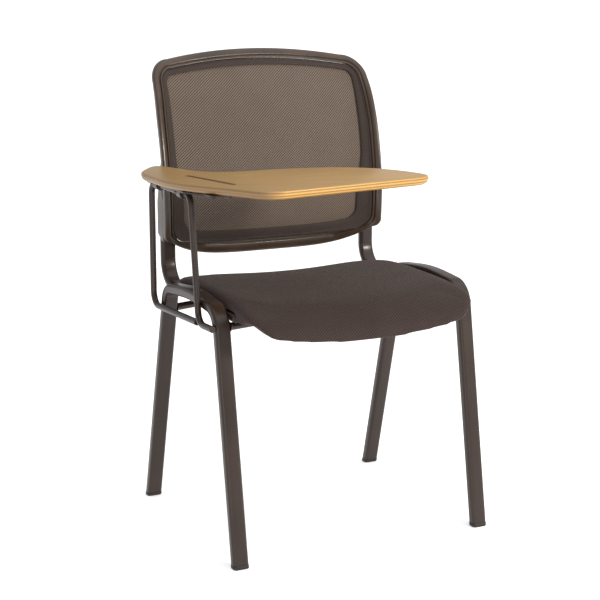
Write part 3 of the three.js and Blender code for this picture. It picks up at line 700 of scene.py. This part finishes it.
def make_net(net):
    """A rectangular net fitted to the window and tucked a little behind its border."""
    across, up = 64, 56
    tuck = 3
    u, v = np.meshgrid(np.linspace(-1, 1, across + 1), np.linspace(0, 1, up + 1))
    x = u * 200
    for _ in range(4):
        low = WINDOW_LOW - tuck + WINDOW_SAG * (x / BACK_W) ** 4
        high = WINDOW_HIGH + tuck - WINDOW_CROWN * (x / BACK_W) ** 2
        z = low + (high - low) * v
        x = u * (side_width(WINDOW_SIDES, z) + tuck)
    y = net_face(x, z) + NET_BEHIND
    points = np.stack([x, y, z], -1)
    faces = []
    for i in range(up):
        for j in range(across):
            a = i * (across + 1) + j
            faces.append((a, a + 1, a + across + 2, a + across + 1))
    sheet = make("back_net", points.reshape(-1, 3), faces, net, 180)
    rise = run_length(points, 0)
    reach = run_length(points, 1)
    reach -= reach[:, across // 2:across // 2 + 1]
    weave = np.stack([reach, rise], -1).reshape(-1, 2) / 1000
    layer = sheet.data.uv_layers.new(name="weave")
    for corner in sheet.data.loops:
        layer.data[corner.index].uv = weave[corner.vertex_index]
    stand_in(sheet, "chair", "mesh_net", "back_mesh")


# ------------------------------------------------------------------ seat
SEAT_W, SEAT_REAR, SEAT_FRONT = 232, 172, -254
TOP_LINE = [(-256, 428), (-230, 446), (-200, 456.5), (-150, 462.5), (-60, 464), (60, 463), (172, 458)]
SHELL_LOW, SHELL_T, SHELL_W, SHELL_D = 440.8, 6, 226, 166
PAD_MIDDLE, SHELL_MIDDLE = -40, -16
SWELL_STEPS, SWELL_CAP, EVEN_ROUNDS = 20, 0.005, 120


def dish(x):
    """How far the seat turns up toward its sides."""
    return 11.2 * (np.abs(x) / POST_X) ** 2.5


def smoothstep(value, low, high):
    share = np.clip((value - low) / (high - low), 0, 1)
    return share**2 * (3 - 2 * share)


def pad_top(x, y):
    """The cushion's top; its rear corners rise a little."""
    wings = 1.5 * smoothstep(np.abs(x), 0, 175) * smoothstep(y, -20, 150)
    return through(TOP_LINE, y) + 0.7 * dish(x) + wings


def pad_under(x, y):
    """The front lip hangs lowest in the middle, and a small skirt hides the ends of the posts."""
    share = np.abs(x) / SEAT_W
    lip = 1 - 0.32 * share**2 - 0.45 * smoothstep(share, 0.82, 0.95)
    skirt = 12 * smoothstep(share, 0.88, 0.98) * smoothstep(-y, 150, 168) * (1 - smoothstep(-y, 172, 205))
    return SHELL_LOW + 1.5 + dish(x) - 39 * lip * smoothstep(-y, 120, 205) - skirt


def rounded_outline(corners, count=12):
    """Points round a closed outline of corners (x, y, radius)."""
    points = []
    for i, (x, y, radius) in enumerate(corners):
        corner = np.array([x, y], float)
        back = unit(np.array(corners[i - 1][:2]) - corner)
        ahead = unit(np.array(corners[(i + 1) % len(corners)][:2]) - corner)
        reach = radius / math.tan(math.acos(back @ ahead) / 2)
        first, last = corner + back * reach, corner + ahead * reach
        for t in np.linspace(0, 1, count):
            points.append((1 - t) ** 2 * first + 2 * t * (1 - t) * corner + t * t * last)
    return np.array(points)


def evened(points, count):
    """The same closed outline at equal steps."""
    ends = np.vstack([points, points[:1]])
    run = np.concatenate([[0], np.cumsum(np.linalg.norm(np.diff(ends, axis=0), axis=1))])
    steps = np.linspace(0, run[-1], count, endpoint=False)
    return np.column_stack([np.interp(steps, run, ends[:, k]) for k in (0, 1)])


def seat_rings(shrink):
    """Rings of the pad from the middle of its top, over the edge, to the middle of its underside."""
    outline = evened(rounded_outline([
        (-SEAT_W, SEAT_FRONT + 10, 62), (0, SEAT_FRONT - 3, 200), (SEAT_W, SEAT_FRONT + 10, 62),
        (SEAT_W, SEAT_REAR, 78), (-SEAT_W, SEAT_REAR, 78),
    ]), 150)
    # (share of the outline, drop from the top surface or None for the underside)
    rows = [(share, 0) for share in (0.02, 0.1, 0.2, 0.3, 0.4, 0.5, 0.6, 0.68, 0.76, 0.82)]
    rows += [(0.88, 0.3), (0.93, 0.9), (0.96, 2), (0.98, 4), (0.993, 7), (1, 11.5)]
    rows += [(share, None) for share in (0.997, 0.98, 0.95, 0.91, 0.86, 0.8, 0.73, 0.65, 0.4, 0.02)]
    rings = []
    for share, drop in rows:
        x = outline[:, 0] * share
        y = PAD_MIDDLE + (outline[:, 1] - PAD_MIDDLE) * share
        under = pad_under(x, y)
        z = under if drop is None else np.maximum(pad_top(x, y) - drop - shrink, under + 1)
        rings.append(np.column_stack([x, y, z]))
    return rings


def slab(low, high, grow):
    """A dished slab over the seat shell's plan."""
    w, d = SHELL_W + grow, SHELL_D + grow
    outline = evened(rounded_outline([(-w, -d, 30), (w, -d, 30), (w, d, 66), (-w, d, 66)]), 140)
    rings = []
    shares = (0.02, 0.3, 0.6, 0.8, 1)
    for share, level in [(s, low) for s in shares] + [(s, high) for s in reversed(shares)]:
        x, y = outline[:, 0] * share, SHELL_MIDDLE + (outline[:, 1] - SHELL_MIDDLE) * share
        rings.append(np.column_stack([x, y, level + dish(x)]))
    return skin(rings)


def make_seat(cloth):
    pad = make("seat_cushion", *skin(seat_rings(1)), cloth, 180)
    remesh = pad.modifiers.new("remesh", "REMESH")
    remesh.mode = "VOXEL"
    remesh.voxel_size = 0.0045
    applied(pad)
    relax = pad.modifiers.new("relax", "SMOOTH")
    relax.iterations = 4
    applied(pad)
    swell(pad)
    fine = pad.modifiers.new("fine", "SUBSURF")
    fine.levels = fine.render_levels = 1
    applied(pad)
    tools = [make("cut_shell", *slab(300, SHELL_LOW + SHELL_T + 0.5, 1.2), cloth)]
    for name, side in SIDES:
        room = post_rings(side, 1.0, POST_FRONT - 6)
        tools.append(make(f"cut_{name}", *skin(room), cloth))
    carve(pad, *tools)
    keep_between_rails(pad)
    pad.data.shade_smooth()
    pad.data.set_sharp_from_angle(angle=math.radians(60))
    stand_in(pad, "chair", "seat_cloth", "seat_pad")


def vertices(mesh):
    flat = np.zeros(len(mesh.vertices) * 3, np.float32)
    mesh.vertices.foreach_get("co", flat)
    return flat.reshape(-1, 3)


def keep_between_rails(pad):
    """Holds the cushion's sides just inside the side rails."""
    points = vertices(pad.data)
    reach = (LEG_X - LEG_W / 2 - 0.6) / 1000
    points[:, 0] = MIDDLE[0] + np.clip(points[:, 0] - MIDDLE[0], -reach, reach)
    pad.data.vertices.foreach_set("co", points.ravel())
    pad.data.update()


def spread(mesh, values, rounds):
    """Evens values out over a mesh's neighbouring vertices."""
    pairs = np.zeros(len(mesh.edges) * 2, np.int32)
    mesh.edges.foreach_get("vertices", pairs)
    pairs = pairs.reshape(-1, 2)
    ends, others = np.concatenate([pairs, pairs[:, ::-1]]).T
    count = np.bincount(ends, minlength=len(values))[:, None]
    for _ in range(rounds):
        total = np.column_stack([np.bincount(ends, values[others, k], len(values)) for k in range(3)])
        values = (values + total / count) / 2
    return values


def swell(pad):
    """Inflates the cover as cloth over its foam, held along its underside, and caps how far it moves."""
    start = vertices(pad.data)
    low = (start - at([0, 0, 0])) * 1000
    held = pad.vertex_groups.new(name="held")
    held.add(np.flatnonzero(low[:, 2] < pad_under(low[:, 0], low[:, 1]) + 3).tolist(), 1.0, "REPLACE")
    cloth = pad.modifiers.new("cloth", "CLOTH")
    settings = cloth.settings
    settings.quality = 6
    settings.mass = 0.3
    settings.vertex_group_mass = "held"
    settings.use_pressure = True
    settings.uniform_pressure_force = 4
    settings.tension_stiffness = settings.compression_stiffness = 12
    settings.bending_stiffness = 2
    settings.effector_weights.gravity = 0
    cloth.collision_settings.use_collision = False
    scene = bpy.context.scene
    for step in range(1, SWELL_STEPS + 1):
        scene.frame_set(step)
    applied(pad)
    scene.frame_set(1)
    moved = spread(pad.data, vertices(pad.data) - start, EVEN_ROUNDS)
    length = np.linalg.norm(moved, axis=1, keepdims=True)
    capped = start + moved * np.minimum(1, SWELL_CAP / np.maximum(length, 1e-9))
    pad.data.vertices.foreach_set("co", capped.ravel())
    pad.vertex_groups.clear()
    pad.data.update()


# ------------------------------------------------------------------ tablet
ROD_X, ROD_R, ROD_TOP = -271.3, 6, 654
BOARD_LOW, BOARD_T = 663.6, 16


def make_rod(steel):
    line = [(-152, 427.5), (-88, 425), (-57, ROD_TOP), (142, ROD_TOP), (142, 416.5), (-80, 425.9)]
    rings = sweep(bent(in_plane(ROD_X, line), [24, 22, 22, 26], 4), circle(ROD_R), (1, 0, 0))
    rod = make("tablet_rod", *skin(rings), steel, 60)
    stand_in(rod, "chair", "coated_steel", "tablet_rod_frame")


def bezier(*controls):
    """Points of a curve of any degree, without its last point."""
    t = np.linspace(0, 1, 16, endpoint=False)[:, None]
    n = len(controls) - 1
    weights = [math.comb(n, k) * t**k * (1 - t) ** (n - k) for k in range(n + 1)]
    return sum(weight * np.array(control, float) for weight, control in zip(weights, controls))


def board_outline():
    corners = [
        [(-312, 80), (-309, 106), (-297, 122), (-268, 163)],
        [(-268, 163), (-258, 177), (-244, 182), (-239, 166)],
        [(-239, 166), (-214, 118), (-228, 34), (-130, 33)],
        [(-130, 33), (0, 33), (84, 16), (128, -60)],
        [(128, -60), (144, -88), (152, -114), (157, -142)],
        [(157, -142), (161, -186), (118, -195)],
        [(118, -195), (-163, -244)],
        [(-163, -244), (-204, -251), (-222, -214)],
        [(-222, -214), (-252, -136), (-306, -96), (-311, 0)],
        [(-311, 0), (-312, 80)],
    ]
    return evened(np.concatenate([bezier(*c) for c in corners]), 260)


def make_board(wood):
    outline = board_outline()
    along = np.roll(outline, -1, 0) - np.roll(outline, 1, 0)
    inward = np.column_stack([-along[:, 1], along[:, 0]])
    inward /= np.linalg.norm(inward, axis=1, keepdims=True)
    if np.sum(inward * (outline - outline.mean(0))) > 0:
        inward = -inward
    rings = []
    # (inset, height) of the rounded edge from the underside up
    edge = [
        (12, 0), (8, 0.8), (4.6, 2.4), (2.2, 4.6), (0.6, 7.4),
        (0, 10), (0, 13), (0.5, 14.8), (1.6, 15.7), (3.2, BOARD_T),
    ]
    for inset, z in edge:
        line = outline + inward * inset
        rings.append(np.column_stack([line, np.full(len(line), BOARD_LOW + z)]))
    board = make("writing_board", *skin(rings), wood, 40)
    start, end = np.array(GROOVE_ENDS, float)
    run = end - start
    slot_line = rounded_rect(np.linalg.norm(run), GROOVE_W, GROOVE_W / 2 - 0.01)
    turn = math.atan2(run[1], run[0])
    spin = np.array([[math.cos(turn), -math.sin(turn)], [math.sin(turn), math.cos(turn)]])
    middle = (start + end) / 2
    rings = []
    # (share of the width, height) of the groove from its floor up
    for scale, z in ((0.5, 13.2), (0.85, 13.5), (1.0, 14.6), (1.04, 20)):
        line = (slot_line * [1, scale]) @ spin.T + middle
        rings.append(np.column_stack([line, np.full(len(line), BOARD_LOW + z)]))
    carve(board, make("cut_groove", *skin(rings), wood))
    board.data.shade_smooth()
    board.data.set_sharp_from_angle(angle=math.radians(35))
    stand_in(board, "tablet", "tablet_wood", "tablet_board")


# ------------------------------------------------------------------ the CAD pieces that still show
def finish_cad_nodes(by_slot):
    slots = {part["node"]: part["material_slot"] for part in frame["record"]["subparts"]}
    for name, obj in frame["nodes"].items():
        obj.data.materials.clear()
        obj.data.materials.append(by_slot[slots[name]])
        obj.data.shade_smooth()
        obj.data.set_sharp_from_angle(angle=math.radians(32))
        edge = obj.modifiers.new("soft_edge", "BEVEL")
        edge.width = 0.0003
        edge.segments = 2
        edge.angle_limit = math.radians(40)


set_camera()
set_floor()
set_lights()
bpy.context.scene.view_settings.view_transform = "Standard"

steel = powder_coat()
moulding = frame_plastic()
band = carrier_band()
net = stretched_net()
cloth = seat_cloth()
wood = tablet_wood()
foot_plastic = plain_plastic("foot_plastic", "1b1817", "242020", 0.5)
zinc = zinc_plate()
shell_plastic = plain_plastic("shell_plastic", "181615", "1f1c1b", 0.55)
rubber = plain_plastic("buffer_rubber", "161514", "211f1e", 0.8)
nylon = plain_plastic("bush_nylon", "262321", "2f2b29", 0.45)
finish_cad_nodes({
    "coated_steel": steel, "glide_plastic": foot_plastic, "back_plastic": moulding,
    "carrier_plastic": band, "shell_plastic": shell_plastic, "seat_cloth": cloth, "mesh_net": net,
    "tablet_wood": wood, "zinc_steel": zinc, "rubber": rubber, "nylon": nylon,
})
make_side_frames(steel)
make_glides(foot_plastic)
make_cross_tubes(steel)
make_posts(steel, foot_plastic)
make_back_frame(moulding)
make_carrier(band)
make_net(net)
make_seat(cloth)
make_rod(steel)
make_board(wood)
